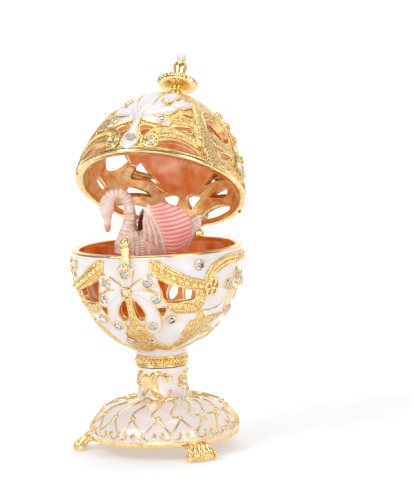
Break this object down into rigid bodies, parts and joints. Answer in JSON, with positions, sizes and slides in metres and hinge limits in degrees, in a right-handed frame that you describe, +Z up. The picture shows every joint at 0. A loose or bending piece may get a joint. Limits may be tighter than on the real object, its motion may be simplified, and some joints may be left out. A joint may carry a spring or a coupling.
{
  "type": "jewelled egg trinket box",
  "caption": "Enamelled openwork egg on a footed pedestal, with a hinged lid, a clasp, crystals and a swan inside.",
  "frame": {"origin": "middle of the space the box takes up, on the surface that its three paws stand on; the egg's axis is 0.9 mm towards +X and 1.9 mm towards -Y of it", "axes": "+Z up along the egg's axis, the clasp faces -Y, the lid's hinge is at +Y with its pin along X"},
  "size_m": [0.0574, 0.0653, 0.1269],
  "materials": {
    "white_enamel": "glossy pearly white enamel over cast metal",
    "orange_enamel": "glossy translucent orange enamel on the inside walls",
    "gilt_openwork": "gilt cast metal, granulated and polished",
    "polished_gilt": "polished gilt metal",
    "granulated_gilt": "granulated gilt metal",
    "pedestal_enamel": "glossy pearly white enamel with gilt wires",
    "swan_enamel": "satin pink and coral enamel over cast metal",
    "pearl": "lustrous imitation pearl",
    "crystal": "clear faceted stones"
  },
  "bodies": {
    "box": {"bowl": "white_enamel", "clasp": "polished_gilt", "crystal_bow_back": "crystal", "crystal_bow_front": "crystal", "hinge_bowl_leaf": "polished_gilt", "hinge_pin": "polished_gilt", "pedestal": "pedestal_enamel", "swan": "swan_enamel", "crystal_bowl_front_1": "crystal", "crystal_bowl_front_2": "crystal", "crystal_bowl_front_3": "crystal", "crystal_bowl_front_4": "crystal", "crystal_bowl_front_5": "crystal", "crystal_bowl_front_6": "crystal", "crystal_bowl_front_7": "crystal", "crystal_low_front_1": "crystal", "crystal_low_front_2": "crystal", "crystal_rim_front_1": "crystal", "crystal_rim_front_2": "crystal", "crystal_bowl_back_1": "crystal", "crystal_bowl_back_2": "crystal", "crystal_bowl_back_3": "crystal", "crystal_bowl_back_4": "crystal", "crystal_bowl_back_5": "crystal", "crystal_bowl_back_6": "crystal", "crystal_bowl_back_7": "crystal", "crystal_low_back_1": "crystal", "crystal_low_back_2": "crystal", "crystal_rim_back_1": "crystal", "crystal_rim_back_2": "crystal"},
    "lid": {"finial": "polished_gilt", "finial_pearl": "pearl", "hinge_lid_leaf": "polished_gilt", "lid": "gilt_openwork", "crystal_drop_back": "crystal", "crystal_drop_front": "crystal", "crystal_lid_front_1": "crystal", "crystal_lid_front_2": "crystal", "crystal_lid_front_3": "crystal", "crystal_lid_front_4": "crystal", "crystal_lid_back_1": "crystal", "crystal_lid_back_2": "crystal", "crystal_lid_back_3": "crystal", "crystal_lid_back_4": "crystal"}
  },
  "joints": [
    {"name": "lid_hinge", "type": "hinge", "parent": "box", "child": "lid", "pos_m": [0.0009, 0.02905, 0.06579], "axis": [-1, 0, 0], "range_deg": [-32.3, 60]}
  ]
}
